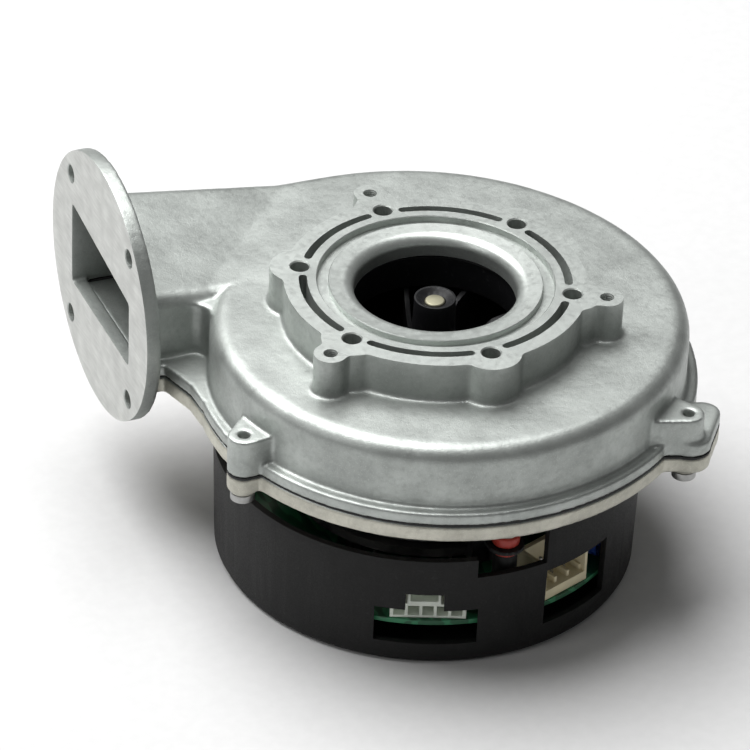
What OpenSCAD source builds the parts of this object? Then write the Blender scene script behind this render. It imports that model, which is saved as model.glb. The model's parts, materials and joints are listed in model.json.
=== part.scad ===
// Combustion fan: die-cast volute blower with an external-rotor motor hung below it.
// Millimetres. +Z is the fan axis, up through the inlet; the outlet blows towards -X.
// The origin is the centre of the inlet ring's machined top face.

/* [Inlet ring] */
// Pitch circle of the six plain fixing holes
inlet_pcd = 80; // [79:0.5:81]
// Diameter of the plain fixing holes
inlet_hole_d = 5.5; // [4.5:0.1:6]
// Pitch circle of the three tapped holes
tapped_pcd = 100; // [99:0.5:101]
// Core diameter of the tapped holes
tapped_hole_d = 3.5; // [3:0.1:4]
// Bore of the inlet throat
throat_d = 47.6; // [44:0.1:49]

/* [Volute] */
// Radius of the scroll wall where the spiral starts
scroll_start_r = 65.5; // [65:0.1:66]
// Height of the scroll's flat roof below the inlet face
roof_z = -12.4; // [-13:0.1:-12]
// Height of the parting plane between the castings
parting_z = -35.6; // [-36.5:0.1:-35]
// Thickness of the cast walls
wall = 3; // [2.5:0.1:3.2]
// Radius on the scroll's upper edge
scroll_round = 5; // [3:0.5:6]
// Width of the rim that stands out round the parting plane
rim_w = 3.5; // [3:0.1:4]

/* [Outlet] */
// Diameter of the outlet flange
flange_d = 82; // [80:0.5:84]
// Distance of the flange face from the fan axis
flange_x = 82; // [81:0.5:84]
// Sideways offset of the flange centre
flange_y = 60.4; // [60:0.1:61]
// Height of the flange centre
flange_z = -21.6; // [-22:0.1:-21]
// Thickness of the flange
flange_t = 4.5; // [4:0.1:5]
// Spacing of the four flange holes, both ways
flange_hole_pitch = 49.5; // [48:0.1:50]
// Diameter of the plain flange holes
flange_hole_d = 5.5; // [4.5:0.1:6]

/* [Rotor] */
// Outside diameter of the impeller
impeller_d = 118; // [112:0.5:119]
// Number of impeller blades
blade_count = 9; // [7:1:11]
// Diameter of the motor shaft
shaft_d = 6; // [6:0.1:6]

/* [Motor cover] */
// Outside diameter of the cover at its upper edge
cover_d = 128.2; // [127:0.2:129]
// Depth of the cover's underside below the inlet face
cover_bottom_z = -92.3; // [-93:0.1:-91]
// Thickness of the cover's walls
cover_wall = 2; // [1.6:0.1:2.2]
// Height of the cover's low front rim
cover_rim_z = -55; // [-56:0.1:-54]
// Thickness of the circuit board
pcb_t = 1.6; // [1.4:0.1:1.8]

/* [Hidden] */
$fn = 96;

// The scroll is four arcs. Each arc's centre steps away from the last one's, along the line that
// the two arcs share, so that the wall runs on smoothly while its radius grows.
scroll_steps = [3, 6.5, 5];
scroll_c0 = [-0.8, -2];
scroll_arcs = [
    [135, 45, scroll_c0, scroll_start_r],
    [180, 90, scroll_c0 + [scroll_steps[0], 0], scroll_start_r + scroll_steps[0]],
    [270, 90, scroll_c0 + [scroll_steps[0], scroll_steps[1]],
        scroll_start_r + scroll_steps[0] + scroll_steps[1]],
    [0, 90, scroll_c0 + [scroll_steps[0] - scroll_steps[2], scroll_steps[1]],
        scroll_start_r + scroll_steps[0] + scroll_steps[1] + scroll_steps[2]]];
scroll_end = scroll_arcs[3][2] + [0, scroll_arcs[3][3]];
scroll_core_r = 58;

// The duct leaves the scroll's end with a slight flare; its roof rises towards the flange.
duct_far_y = 87;
duct_near_y = 32;
duct_flare = atan((duct_far_y - scroll_end[1]) / (scroll_end[0] + flange_x));
duct_back_x = -flange_x + flange_t;
roof_rise_along = 7.5;
roof_rise_across = 6.9;
duct_roof_z = -2.9;
notch_round = 4.5;
outlet_lip = 1.2;

// Parting joint
gasket_t = 0.6;
upper_face_z = parting_z + gasket_t / 2;
lower_face_z = parting_z - gasket_t / 2;
upper_rim_t = 3.7;
lower_rim_t = 5.3;
lower_web_t = 3;

// Ears that the casting screws go through: [x, y, direction the ear points in]
ears = [[-68.6, -23.6, 204], [56.2, -56.7, -38], [23.2, 86.2, 75], [-52, 91.5, 90]];
ear_r = 4.7;
ear_top_z = -23;
ear_base = 8.5;
ear_reach = 10;
// Two bumps on the rim beside the right-hand ear: [x, y, radius]
rim_bumps = [[57.5, -56.2, 6.4], [66, -47, 5.2]];
bump_top_z = -31;

// Inlet ring
ring_r = 44.4;
boss_r = 8.9;
lobe_r = 4.9;
inlet_hole_depth = 11;
tapped_depth = 10;
slot_mid_r = 38.7;
slot_w = 2.4;
slot_half_angle = 21.8;
slot_depth = 8;
groove_in_r = 31.3;
groove_out_r = 34.65;
groove_depth = 2.2;
bell_lip_z = -0.3;
bell_flat_z = -0.6;
bell_roll_r = 3.4;
throat_end_z = -7;
throat_pocket_r = 28.8;
throat_r = throat_d / 2;

// Impeller
impeller_r = impeller_d / 2;
back_plate_top_z = -31.8;
back_plate_t = 1.8;
hub_top_z = -6.1;
hub_r = 6.1;
bush_r = 4.4;
bush_top_z = -9.6;
eye_r = throat_r + 1;
collar_top_z = -8;
collar_t = 1.6;
shroud_t = 1.5;
blade_arc_r = 46;
blade_t = 1.5;

// Motor, from the top down
shaft_r = shaft_d / 2;
shaft_top_z = -6.9;
shaft_bottom_z = -72.6;
cup_top_z = -43.6;
cup_bottom_z = -65.2;
cup_r = 40.2;
cup_t = 1.6;
magnet_t = 3.3;
air_gap = 0.7;
stator_r = cup_r - cup_t - magnet_t - air_gap;
stator_top_z = -50;
stator_bottom_z = -62;
stator_bore_r = 12;
tooth_count = 9;
tooth_w = 5;
shoe_t = 2.4;
coil_in_r = 18.6;
coil_out_r = 30.6;
coil_build = 2.1;
insulator_t = 1;
bearing_w = 6;
bearing_r = 9.5;
bearing_pitch_r = 6.25;
ball_r = 1.75;
ball_count = 7;
race_clear = 0.05;
upper_bearing_z = -51;
lower_bearing_z = -67;
tube_r = 12;
tube_top_z = -47.6;
tube_bottom_z = -70.4;
tube_flange_r = 18;
tube_flange_top_z = -64.7;
carrier_top_z = -66.2;
carrier_bottom_z = -69;
carrier_hub_r = 42;
seal_r = 8;

// Isolators and the screws through them
isolator_angles = [270, 30, 150];
isolator_pcd_r = 57;
isolator_top_z = -51.4;
isolator_bottom_z = -58;
isolator_r = 4.1;
isolator_neck_r = 3.1;
isolator_neck_top_z = -55;
isolator_neck_t = 1.2;
sleeve_r = 2.1;
motor_screw_r = 1.45;

// Circuit board and what stands on it
pcb_top_z = -78.2;
pcb_r = 60.7;
board_screw_angles = [90, 210, 330];
board_screw_r = 34;
control_angle = -112.3;
control_face_r = 59.4;
control_pitch = 4.2;
control_ways = 5;
control_w = control_pitch * control_ways + 1.2;
control_h = 5;
control_latch_h = 10.6;
control_latch_w = 9.8;
control_latch_y = -1.2;
control_depth = 12;
mains_angle = -70;
mains_face_r = 59.8;
mains_w = 17.6;
mains_h = 12.6;
mains_depth = 11.5;
mains_pin_pitch = 5;

// Motor cover
cover_r = cover_d / 2;
cover_draft = 0.6;
cover_floor_r = 2.2;
cover_high_z = -42.4;
cover_high_from = -80.4;
cover_high_to = 15;
notch_half_angle = 9.9;
notch_floor_z = -61.3;

// ---- shared shapes ----

// A pie slice of radius r from angle a over span degrees
module pie(r, a, span) {
    reach = 2 * r;
    intersection() {
        circle(r);
        polygon([[0, 0], for (i = [0:3]) reach * [cos(a + span * i / 3), sin(a + span * i / 3)]]);
    }
}

module at_polar(r, angle) {
    rotate([0, 0, angle])
        translate([r, 0, 0])
            children();
}

module tube(r_out, r_in, z_low, z_high) {
    translate([0, 0, z_low])
        difference() {
            cylinder(r = r_out, h = z_high - z_low);
            translate([0, 0, -1])
                cylinder(r = r_in, h = z_high - z_low + 2);
        }
}

module box_between(low, high) {
    translate(low)
        cube(high - low);
}

// A plan extruded between two heights
module prism(z_low, z_high) {
    translate([0, 0, z_low])
        linear_extrude(z_high - z_low)
            children();
}

// Overlong shapes trimmed to common top and bottom planes
module trimmed(z_low, z_high) {
    intersection() {
        box_between([-130, -130, z_low], [130, 130, z_high]);
        union()
            children();
    }
}

// Plan of the scroll wall, moved outwards by grow
module scroll_plan(grow) {
    circle(scroll_core_r);
    for (arc = scroll_arcs)
        translate(arc[2])
            pie(arc[3] + grow, arc[0], arc[1]);
}

// Plan of the outlet duct, moved outwards by grow, ending at x = end_x
module duct_plan(grow, end_x) {
    polygon([
        [scroll_end[0], scroll_end[1] + grow],
        [end_x, scroll_end[1] + tan(duct_flare) * (scroll_end[0] - end_x) + grow],
        [end_x, duct_near_y - grow],
        [-48, duct_near_y - grow],
        [-30, 0],
        [scroll_end[0], 0]]);
}

// Concave corner where the duct's near wall meets the scroll's first arc
module notch_fill() {
    arc = scroll_arcs[0];
    reach = arc[3] + notch_round;
    drop = duct_near_y - notch_round - arc[2][1];
    centre = [arc[2][0] - sqrt(reach * reach - drop * drop), duct_near_y - notch_round];
    difference() {
        polygon([centre, [centre[0], duct_near_y + 1], [-54, duct_near_y + 1], [-54, 23],
            centre + 0.1 * (arc[2] - centre)]);
        translate(centre)
            circle(notch_round);
    }
}

// Four lugs that stand out from the walls, each a round eye on a web that widens inwards
module ear_blocks(z_low, z_high) {
    trimmed(z_low, z_high)
        for (ear = ears)
            translate([ear[0], ear[1], 0])
                rotate([0, 0, ear[2]]) {
                    prism(z_low - 2, z_high + 2)
                        circle(ear_r);
                    prism(z_low - 3, z_high + 3)
                        polygon([[1.6, ear_r - 0.3], [1.6, -ear_r + 0.3],
                            [-ear_reach, -ear_base], [-ear_reach, ear_base]]);
                }
}

// The rim's widening round the right-hand ear: two round bumps on one web
module rim_bump_blocks(z_low, z_high) {
    trimmed(z_low, z_high) {
        for (bump = rim_bumps)
            translate([bump[0], bump[1], 0])
                prism(z_low - bump[2], z_high + bump[2])
                    circle(bump[2]);
        prism(z_low - 3, z_high + 3)
            polygon([[62, -60.6], [69.6, -50.8], [60, -40], [48, -48]]);
    }
}

// The joint rim: the scroll and duct walls with a ledge round them, and the ears
module rim_block(grow, z_low, z_high) {
    ledge_x = scroll_arcs[1][2][0] - scroll_arcs[1][3];
    trimmed(z_low, z_high) {
        prism(z_low - 1, z_high + 1)
            scroll_plan(grow);
        prism(z_low - 1.5, z_high + 1.5)
            duct_plan(grow, duct_back_x);
        prism(z_low - 2, z_high + 2)
            polygon([[duct_back_x, duct_near_y], [duct_back_x, duct_near_y - grow],
                [ledge_x - grow - 3.4, duct_near_y - grow], [ledge_x - grow + 0.1, 16.5],
                [ledge_x - grow + 0.6, 6], [ledge_x, -2], [-55, 0], [-55, duct_near_y]]);
        ear_blocks(z_low - 2.5, z_high + 2.5);
        rim_bump_blocks(z_low - 3.5, z_high + 3.5);
    }
}

module cavity_plan() {
    scroll_plan(-wall);
    duct_plan(-wall, -flange_x - 1);
}

// Facets that round off an edge along X. Its roof faces up, and its wall faces wall_normal degrees
// round from +Y.
module edge_facets(radius, wall_normal) {
    span = 90 - wall_normal;
    translate([0, radius * (sin(wall_normal) - 1) / cos(wall_normal), -radius])
        for (i = [1:3])
            rotate([wall_normal + span * i / 4, 0, 0])
                translate([-60, radius, -40])
                    cube([260, 40, 80]);
}

// Everything above the duct's sloping roof, the roof lying at height z over the flange's far edge
module above_duct_roof(z) {
    translate([-flange_x, duct_far_y, z])
        rotate([roof_rise_across, roof_rise_along, 0])
            translate([-40, -140, 0])
                cube([260, 200, 60]);
}

// ---- castings ----

// Half section of a ring with its upper outer edge rounded
module rounded_section(r_in, r_out, height, edge_r) {
    difference() {
        translate([r_in, 0])
            square([r_out - r_in, height]);
        translate([r_out - edge_r, height - edge_r])
            difference() {
                square(edge_r + 1);
                circle(edge_r);
            }
    }
}

module scroll_shell() {
    bottom = upper_face_z - 1;
    edge_w = scroll_round + 3;
    prism(bottom, roof_z)
        scroll_plan(-scroll_round - 1);
    for (arc = scroll_arcs)
        translate([arc[2][0], arc[2][1], bottom])
            rotate([0, 0, arc[0]])
                rotate_extrude(angle = arc[1])
                    rounded_section(arc[3] - edge_w, arc[3], roof_z - bottom, scroll_round);
}

// The duct in two blocks, one flat like the scroll's roof and one with the sloping roof. Both have
// their long upper edges rounded.
module duct_shell() {
    difference() {
        prism(upper_face_z - 2, roof_z)
            duct_plan(0, duct_back_x);
        translate([-flange_x, duct_far_y, roof_z])
            rotate([0, 0, -duct_flare])
                edge_facets(scroll_round, 0);
        translate([-flange_x, duct_near_y, roof_z])
            edge_facets(scroll_round, 180);
    }
    difference() {
        prism(upper_face_z - 2, upper_face_z + 40)
            duct_plan(0, duct_back_x);
        above_duct_roof(duct_roof_z);
        translate([-flange_x, duct_far_y, duct_roof_z])
            rotate([roof_rise_across, roof_rise_along, 0]) {
                rotate([0, 0, -duct_flare])
                    edge_facets(scroll_round, -roof_rise_across);
                translate([0, (duct_near_y - duct_far_y) / cos(roof_rise_across), 0])
                    edge_facets(scroll_round, 180 - roof_rise_across);
            }
    }
    prism(upper_face_z - 1.5, roof_z - 2)
        notch_fill();
}

module outlet_flange() {
    translate([-flange_x, flange_y, flange_z])
        rotate([0, 90, 0])
            cylinder(r = flange_d / 2, h = flange_t);
}

// The hollow inside, down past the parting plane; the floor steps up in a lip at the flange
module volute_cavity() {
    bottom = upper_face_z - 2;
    difference() {
        union() {
            prism(bottom, roof_z - wall)
                scroll_plan(-wall);
            prism(bottom - 1, roof_z - wall)
                duct_plan(-wall - 0.3, -60);
            difference() {
                prism(bottom - 2, upper_face_z + 40)
                    duct_plan(-wall, -flange_x - 1);
                above_duct_roof(duct_roof_z - wall);
            }
        }
        box_between([-flange_x - 2, 0, bottom - 3], [duct_back_x, 100, upper_face_z + outlet_lip]);
    }
}

module inlet_ring() {
    foot_z = roof_z - 1;
    trimmed(foot_z, 0) {
        prism(foot_z - 1, 1)
            circle(ring_r);
        for (i = [0:5])
            at_polar(inlet_pcd / 2, 30 + 60 * i)
                prism(foot_z - 2, 2)
                    circle(boss_r);
        for (i = [0:2])
            rotate([0, 0, 90 + 120 * i]) {
                translate([tapped_pcd / 2, 0, 0])
                    prism(foot_z - 3, 3)
                        circle(lobe_r);
                box_between([tapped_pcd / 2 - 12, -lobe_r + 0.1, foot_z - 4],
                    [tapped_pcd / 2, lobe_r - 0.1, 4]);
            }
    }
}

// The air passage: a nearly flat lip that rolls over into the throat's bore
module bell_mouth() {
    steps = 12;
    rotate_extrude()
        polygon([[0, 1], [groove_in_r, 1], [groove_in_r, bell_lip_z],
            for (i = [0:steps])
                [throat_r + bell_roll_r * (1 - sin(90 * i / steps)),
                    bell_flat_z - bell_roll_r * (1 - cos(90 * i / steps))],
            [throat_r, throat_end_z - 1], [0, throat_end_z - 1]]);
}

// The recess under the ring that the impeller's collar turns in
module throat_pocket() {
    translate([0, 0, roof_z - wall - 1])
        cylinder(r = throat_pocket_r, h = throat_end_z - roof_z + wall + 1);
}

module inlet_slots() {
    end_r = slot_w / 2 - 0.1;
    for (i = [0:5])
        rotate([0, 0, 60 * i - slot_half_angle])
            rotate_extrude(angle = 2 * slot_half_angle)
                translate([slot_mid_r - slot_w / 2, -slot_depth])
                    square([slot_w, slot_depth + 1]);
    for (i = [0:5], side = [-1, 1])
        at_polar(slot_mid_r, 60 * i + side * slot_half_angle)
            translate([0, 0, -slot_depth])
                cylinder(r = end_r, h = slot_depth + 1);
}

module inlet_holes() {
    for (i = [0:5])
        at_polar(inlet_pcd / 2, 30 + 60 * i)
            translate([0, 0, -inlet_hole_depth])
                cylinder(d = inlet_hole_d, h = inlet_hole_depth + 1);
    for (i = [0:2])
        at_polar(tapped_pcd / 2, 90 + 120 * i)
            translate([0, 0, -tapped_depth])
                cylinder(d = tapped_hole_d, h = tapped_depth + 1);
}

module flange_holes() {
    half = flange_hole_pitch / 2;
    for (dy = [-half, half], dz = [-half, half])
        translate([-flange_x - 1, flange_y + dy, flange_z + dz])
            rotate([0, 90, 0])
                cylinder(d = flange_hole_d, h = flange_t + 2);
}

module upper_casting() {
    color([0.74, 0.75, 0.73])
        difference() {
            union() {
                trimmed(upper_face_z, 5) {
                    scroll_shell();
                    duct_shell();
                    rim_block(rim_w, upper_face_z - 3, upper_face_z + upper_rim_t);
                    ear_blocks(upper_face_z - 4, ear_top_z);
                    rim_bump_blocks(upper_face_z - 5, bump_top_z);
                }
                outlet_flange();
                inlet_ring();
            }
            volute_cavity();
            throat_pocket();
            bell_mouth();
            tube(groove_out_r, groove_in_r, -groove_depth, 1);
            inlet_slots();
            inlet_holes();
            flange_holes();
            for (ear = ears)
                translate([ear[0], ear[1], upper_face_z - 1])
                    cylinder(d = tapped_hole_d, h = 20);
        }
}

module lower_casting() {
    lug_r = 3.9;
    lug_bottom_z = -42.6;
    rib_t = 2.4;
    bottom_z = lower_face_z - lower_rim_t;
    color([0.72, 0.71, 0.66])
        difference() {
            union() {
                difference() {
                    rim_block(rim_w, bottom_z, lower_face_z);
                    prism(bottom_z - 1, lower_face_z - lower_web_t)
                        intersection() {
                            scroll_plan(-wall);
                            circle(64);
                        }
                }
                for (i = [0:11])
                    rotate([0, 0, 15 + 30 * i])
                        box_between([seal_r + 2, -rib_t / 2, bottom_z + 0.2],
                            [seal_r + 52, rib_t / 2, lower_face_z - 1]);
                tube(seal_r + 4, seal_r - 0.5, bottom_z + 0.4, lower_face_z - 1);
                for (angle = isolator_angles)
                    at_polar(isolator_pcd_r, angle)
                        translate([0, 0, isolator_top_z])
                            cylinder(r = isolator_r, h = lower_face_z - 1 - isolator_top_z);
                for (ear = ears)
                    translate([ear[0], ear[1], lug_bottom_z])
                        cylinder(r = lug_r, h = lower_face_z - 1 - lug_bottom_z);
            }
            translate([0, 0, bottom_z - 1])
                cylinder(r = seal_r, h = lower_rim_t + 2);
            for (ear = ears)
                translate([ear[0], ear[1], lug_bottom_z - 1])
                    cylinder(r = 2.2, h = 12);
            for (angle = isolator_angles)
                at_polar(isolator_pcd_r, angle)
                    translate([0, 0, isolator_top_z - 1])
                        cylinder(r = motor_screw_r + 0.05, h = 9);
        }
}

module casing_gasket() {
    inset = 0.4;
    color([0.12, 0.12, 0.12])
        difference() {
            rim_block(rim_w - inset, lower_face_z, upper_face_z);
            prism(lower_face_z - 1, upper_face_z + 1)
                cavity_plan();
            box_between([duct_back_x - 1, 0, lower_face_z - 1], [duct_back_x + 0.2, 100, upper_face_z + 1]);
            for (ear = ears)
                translate([ear[0], ear[1], lower_face_z - 1])
                    cylinder(r = 2.2, h = gasket_t + 2);
        }
}

module casing_screws() {
    head_z = -42.6;
    head_h = 2.4;
    color([0.6, 0.6, 0.58])
        for (ear = ears)
            translate([ear[0], ear[1], head_z]) {
                cylinder(d = tapped_hole_d - 0.1, h = 16);
                difference() {
                    translate([0, 0, -head_h])
                        cylinder(r = 3.6, h = head_h);
                    translate([0, 0, -head_h - 1])
                        cylinder(r = 1.6, h = 2.4, $fn = 6);
                }
            }
}

module shaft_seal() {
    running_clear = 0.08;
    color([0.85, 0.83, 0.78])
        tube(seal_r, shaft_r + running_clear, lower_face_z - lower_rim_t + 0.6, lower_face_z);
}

// ---- impeller ----

// The space that the blades fill between the back plate and the front shroud
module blade_space() {
    rotate_extrude()
        polygon([[14, back_plate_top_z - 0.2], [impeller_r, back_plate_top_z - 0.2],
            [impeller_r, -23.2], [42, -20.6], [eye_r + 2, -18.4], [eye_r - 4, -20.4], [14, -27]]);
}

module blades() {
    intersection() {
        blade_space();
        translate([0, 0, back_plate_top_z - 1])
            linear_extrude(20)
                for (i = [0:blade_count - 1])
                    rotate(i * 360 / blade_count)
                        intersection() {
                            translate([16, -blade_arc_r + 4])
                                difference() {
                                    circle(blade_arc_r);
                                    circle(blade_arc_r - blade_t);
                                }
                            polygon([[14, 20], [80, 20], [80, -60], [14, -10]]);
                        }
    }
}

module impeller() {
    cone_r = 17;
    dimple_depth = 1.3;
    color([0.07, 0.07, 0.07]) {
        difference() {
            union() {
                tube(impeller_r, 1, back_plate_top_z - back_plate_t, back_plate_top_z);
                rotate_extrude()
                    polygon([[2, hub_top_z], [hub_r, hub_top_z], [hub_r + 0.4, -20],
                        for (i = [1:6])
                            [hub_r + 0.4 + (cone_r - hub_r - 0.4) * (1 - cos(15 * i)),
                                -20 + (back_plate_top_z + 20) * sin(15 * i)],
                        [cone_r, back_plate_top_z - 0.5], [2, back_plate_top_z - 0.5]]);
                blades();
            }
            translate([0, 0, -60])
                cylinder(r = bush_r, h = bush_top_z + 60);
            translate([0, 0, -60])
                cylinder(r = shaft_r + 0.25, h = 60);
            translate([0, 0, hub_top_z - dimple_depth])
                cylinder(r1 = shaft_r + 0.6, r2 = shaft_r + 2.6, h = dimple_depth + 0.1);
        }
    }
}

module impeller_shroud() {
    color([0.09, 0.09, 0.09])
        rotate_extrude()
            polygon([[eye_r, collar_top_z], [eye_r + collar_t, collar_top_z],
                [eye_r + collar_t, -16.9], [42, -19.1], [impeller_r, -21.7],
                [impeller_r, -21.7 - shroud_t], [42, -19.1 - shroud_t], [eye_r + 2, -18.4],
                [eye_r, -18.4]]);
}

module hub_bush() {
    color([0.55, 0.55, 0.56])
        tube(bush_r, shaft_r, back_plate_top_z - 2.4, bush_top_z);
}

// ---- rotor ----

module shaft() {
    chamfer = 0.35;
    color([0.75, 0.72, 0.6])
        rotate_extrude()
            polygon([[0, shaft_bottom_z], [shaft_r - chamfer, shaft_bottom_z],
                [shaft_r, shaft_bottom_z + chamfer], [shaft_r, shaft_top_z - chamfer],
                [shaft_r - chamfer, shaft_top_z], [0, shaft_top_z]]);
}

module rotor_cup() {
    vent_count = 6;
    hub_foot_z = upper_bearing_z + bearing_w / 2;
    color([0.5, 0.5, 0.52])
        difference() {
            rotate_extrude()
                polygon([[shaft_r, hub_foot_z], [4.8, hub_foot_z], [4.8, hub_foot_z + 0.8],
                    [7, hub_foot_z + 0.8], [7, cup_top_z - cup_t], [cup_r - cup_t, cup_top_z - cup_t],
                    [cup_r - cup_t, cup_bottom_z], [cup_r, cup_bottom_z], [cup_r, cup_top_z - 1],
                    [cup_r - 1, cup_top_z], [shaft_r, cup_top_z]]);
            for (i = [0:vent_count - 1])
                at_polar(24, i * 360 / vent_count)
                    translate([0, 0, cup_top_z - 3])
                        cylinder(r = 4.5, h = 4);
        }
}

module rotor_magnet() {
    color([0.2, 0.2, 0.22])
        tube(cup_r - cup_t, cup_r - cup_t - magnet_t, cup_bottom_z + 0.6, stator_top_z + 3);
}

module shaft_clip() {
    clip_top_z = lower_bearing_z - bearing_w / 2;
    color([0.3, 0.3, 0.32])
        difference() {
            tube(5, shaft_r, clip_top_z - 0.8, clip_top_z);
            box_between([0, -1.6, clip_top_z - 2], [8, 1.6, clip_top_z + 1]);
        }
}

// ---- bearings ----

module bearing_inner(z) {
    shoulder_r = bearing_pitch_r - 1.35;
    color([0.7, 0.7, 0.72])
        translate([0, 0, z])
            rotate_extrude()
                difference() {
                    translate([shaft_r, -bearing_w / 2])
                        square([shoulder_r - shaft_r, bearing_w]);
                    translate([bearing_pitch_r, 0])
                        circle(ball_r + race_clear);
                }
}

module bearing_outer(z) {
    shoulder_r = bearing_pitch_r + 1.35;
    color([0.7, 0.7, 0.72])
        translate([0, 0, z])
            rotate_extrude()
                difference() {
                    translate([shoulder_r, -bearing_w / 2])
                        square([bearing_r - shoulder_r, bearing_w]);
                    translate([bearing_pitch_r, 0])
                        circle(ball_r + race_clear);
                }
}

module bearing_balls(z) {
    color([0.85, 0.85, 0.87])
        for (i = [0:ball_count - 1])
            at_polar(bearing_pitch_r, i * 360 / ball_count)
                translate([0, 0, z])
                    sphere(ball_r);
}

module bearing_cage(z) {
    color([0.75, 0.6, 0.3])
        difference() {
            tube(bearing_pitch_r + 0.9, bearing_pitch_r - 0.9, z - 2.4, z + 2.4);
            for (i = [0:ball_count - 1])
                at_polar(bearing_pitch_r, i * 360 / ball_count)
                    translate([0, 0, z])
                        sphere(ball_r + 0.1);
        }
}

module upper_bearing_inner() { bearing_inner(upper_bearing_z); }
module lower_bearing_inner() { bearing_inner(lower_bearing_z); }
module upper_bearing_outer() { bearing_outer(upper_bearing_z); }
module lower_bearing_outer() { bearing_outer(lower_bearing_z); }
module upper_bearing_balls() { bearing_balls(upper_bearing_z); }
module lower_bearing_balls() { bearing_balls(lower_bearing_z); }
module upper_bearing_cage() { bearing_cage(upper_bearing_z); }
module lower_bearing_cage() { bearing_cage(lower_bearing_z); }

module preload_spring() {
    top = upper_bearing_z - bearing_w / 2;
    color([0.45, 0.45, 0.5])
        tube(bearing_r - 0.1, bearing_pitch_r + 1.6, top - 0.8, top);
}

// ---- stator and carrier ----

module bearing_tube() {
    ledge_top = upper_bearing_z - bearing_w / 2 - 0.8;
    ledge_bottom = lower_bearing_z + bearing_w / 2;
    color([0.78, 0.78, 0.78])
        difference() {
            union() {
                tube(tube_r, bearing_r, tube_bottom_z, tube_top_z);
                tube(tube_flange_r, bearing_r, carrier_top_z, tube_flange_top_z);
                tube(bearing_r + 1, bearing_pitch_r + 1.6, ledge_bottom, ledge_top);
            }
            for (i = [0:2])
                at_polar(15, 30 + 120 * i)
                    translate([0, 0, carrier_top_z - 1])
                        cylinder(r = 1.25, h = 4);
        }
}

module tube_screws() {
    color([0.6, 0.6, 0.6])
        for (i = [0:2])
            at_polar(15, 30 + 120 * i) {
                translate([0, 0, carrier_bottom_z])
                    cylinder(r = 1.2, h = tube_flange_top_z - carrier_bottom_z);
                translate([0, 0, carrier_bottom_z - 1.6])
                    cylinder(r = 2.3, h = 1.6);
            }
}

module stator_core() {
    height = stator_top_z - stator_bottom_z;
    color([0.45, 0.45, 0.47])
        translate([0, 0, stator_bottom_z])
            linear_extrude(height)
                difference() {
                    union() {
                        circle(stator_bore_r + 4.5);
                        for (i = [0:tooth_count - 1])
                            rotate(i * 360 / tooth_count) {
                                translate([stator_bore_r, -tooth_w / 2])
                                    square([stator_r - stator_bore_r - 1, tooth_w]);
                                difference() {
                                    pie(stator_r, -16, 32);
                                    circle(stator_r - shoe_t);
                                }
                            }
                    }
                    circle(stator_bore_r);
                }
}

module stator_insulator() {
    collar_h = insulator_t + 1.3;
    color([0.9, 0.88, 0.8])
        for (side = [0, 1]) {
            face = side == 0 ? stator_top_z : stator_bottom_z;
            up = side == 0 ? 1 : -1;
            low = min(face, face + up * insulator_t);
            tube(stator_bore_r + 4.5, stator_bore_r + 0.1, min(face, face + up * collar_h),
                max(face, face + up * collar_h));
            translate([0, 0, low])
                linear_extrude(insulator_t)
                    for (i = [0:tooth_count - 1])
                        rotate(i * 360 / tooth_count)
                            translate([stator_bore_r + 4, -tooth_w / 2])
                                square([stator_r - stator_bore_r - 5, tooth_w]);
        }
}

module stator_windings() {
    inner_h = stator_top_z - stator_bottom_z + 2 * insulator_t;
    mid_z = (stator_top_z + stator_bottom_z) / 2;
    color([0.72, 0.38, 0.18])
        for (i = [0:tooth_count - 1])
            rotate([0, 0, i * 360 / tooth_count])
                translate([0, 0, mid_z])
                    difference() {
                        translate([coil_in_r, -tooth_w / 2 - coil_build, -inner_h / 2 - coil_build])
                            cube([coil_out_r - coil_in_r, tooth_w + 2 * coil_build,
                                inner_h + 2 * coil_build]);
                        translate([coil_in_r - 1, -tooth_w / 2, -inner_h / 2])
                            cube([coil_out_r - coil_in_r + 2, tooth_w, inner_h]);
                        rotate([0, 0, 20])
                            box_between([0, 0, -20], [40, 20, 20]);
                        rotate([0, 0, -20])
                            box_between([0, -20, -20], [40, 0, 20]);
                    }
}

module winding_terminals() {
    color([0.8, 0.75, 0.5])
        for (i = [0:3])
            at_polar(32.6, 180 + 40 * i)
                box_between([-0.4, -0.4, pcb_top_z], [0.4, 0.4, stator_bottom_z]);
}

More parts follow.
